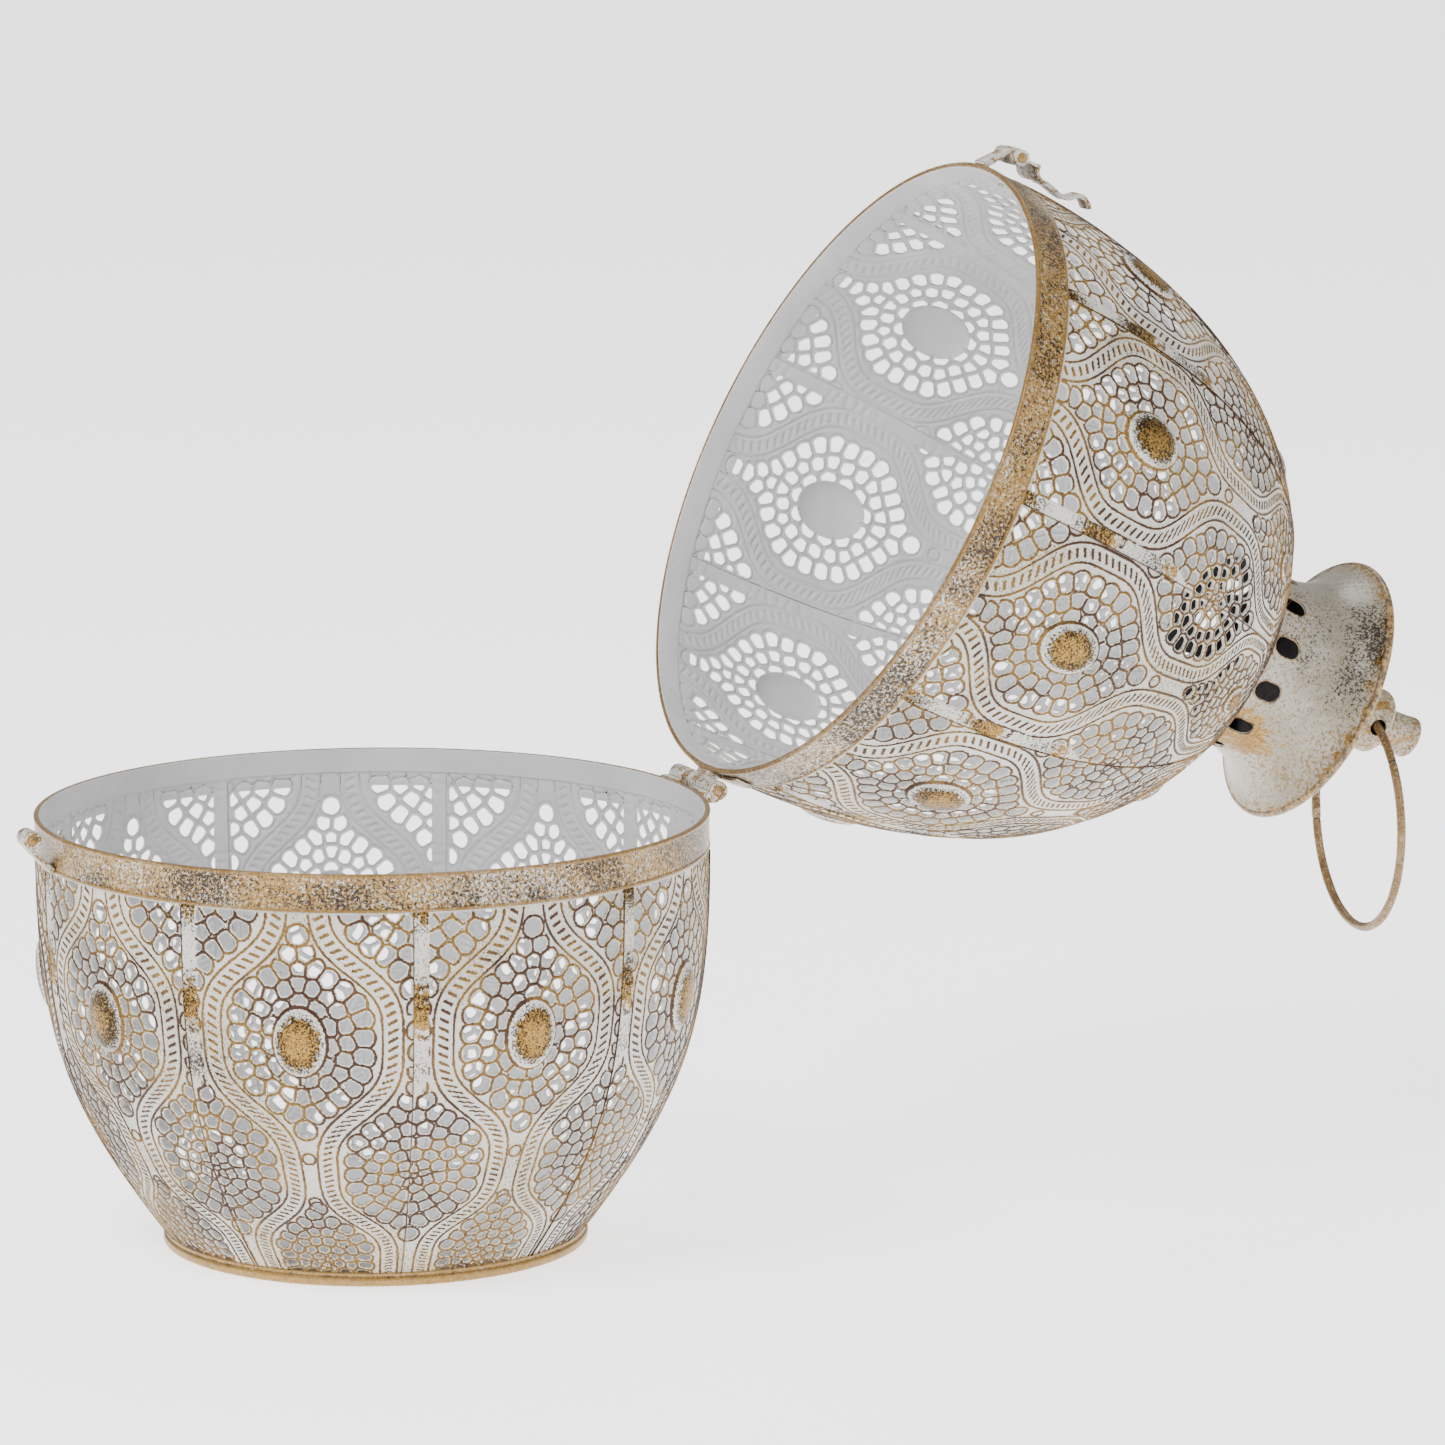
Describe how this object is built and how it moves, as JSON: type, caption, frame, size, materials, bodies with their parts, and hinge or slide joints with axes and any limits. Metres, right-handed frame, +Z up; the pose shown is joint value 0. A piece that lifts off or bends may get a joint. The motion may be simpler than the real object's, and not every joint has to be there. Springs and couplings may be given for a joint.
{
  "type": "hanging lantern",
  "caption": "Hinged pierced-metal lantern: round bowl, domed lid standing open, vented flared cap with a carrying ring, and a swing clasp at the rim.",
  "frame": {"origin": "centre of the foot, on the surface the lantern stands on", "axes": "+Z up, +Y from the bowl's centre towards the hinge, so the latch is at -Y; X along the hinge pin"},
  "size_m": [0.24, 0.5487, 0.3807],
  "materials": {
    "pierced_panel": "chalky white paint over antique gold, rubbed through along the raised lines",
    "gilt_band": "antique gold with speckled white and dark brown wear",
    "base_plate": "plain pale paint",
    "cap": "satin white with gold and brown speckle",
    "fittings": "white paint worn to gold on the edges",
    "pins": "worn white and gold",
    "ring_wire": "aged, dull brown gold"
  },
  "bodies": {
    "bowl": {"bowl_panel_1": "pierced_panel", "bowl_panel_2": "pierced_panel", "bowl_panel_3": "pierced_panel", "bowl_panel_4": "pierced_panel", "bowl_panel_5": "pierced_panel", "bowl_panel_6": "pierced_panel", "bowl_panel_7": "pierced_panel", "bowl_panel_8": "pierced_panel", "bowl_panel_9": "pierced_panel", "bowl_rim_band": "gilt_band", "foot_ring": "gilt_band", "base_plate": "base_plate", "hinge_leaf_bowl": "fittings", "hinge_pin": "pins", "latch_catch": "fittings", "catch_pin": "pins"},
    "lid": {"lid_panel_1": "pierced_panel", "lid_panel_2": "pierced_panel", "lid_panel_3": "pierced_panel", "lid_panel_4": "pierced_panel", "lid_panel_5": "pierced_panel", "lid_panel_6": "pierced_panel", "lid_panel_7": "pierced_panel", "lid_panel_8": "pierced_panel", "lid_panel_9": "pierced_panel", "lid_rim_band": "gilt_band", "hinge_leaf_lid": "fittings", "clasp_bracket": "fittings", "clasp_pin": "pins", "vent_collar": "cap", "crown_plate": "cap", "finial": "cap", "finial_knob": "cap"},
    "clasp": {"latch_clasp": "fittings"},
    "ring": {"carrying_ring": "ring_wire"}
  },
  "joints": [
    {"name": "lid_hinge", "type": "hinge", "parent": "bowl", "child": "lid", "pos_m": [0, 0.1254, 0.156], "axis": [1, 0, 0], "range_deg": [0, 116.7]},
    {"name": "clasp_pivot", "type": "hinge", "parent": "lid", "child": "clasp", "pos_m": [0, 0.24877, 0.37748], "axis": [1, 0, 0], "range_deg": [0, 180]},
    {"name": "ring_swing", "type": "hinge", "parent": "lid", "child": "ring", "pos_m": [0, 0.3958, 0.16037], "axis": [0.9848, -0.078, -0.1551], "range_deg": [-56, 181]}
  ]
}
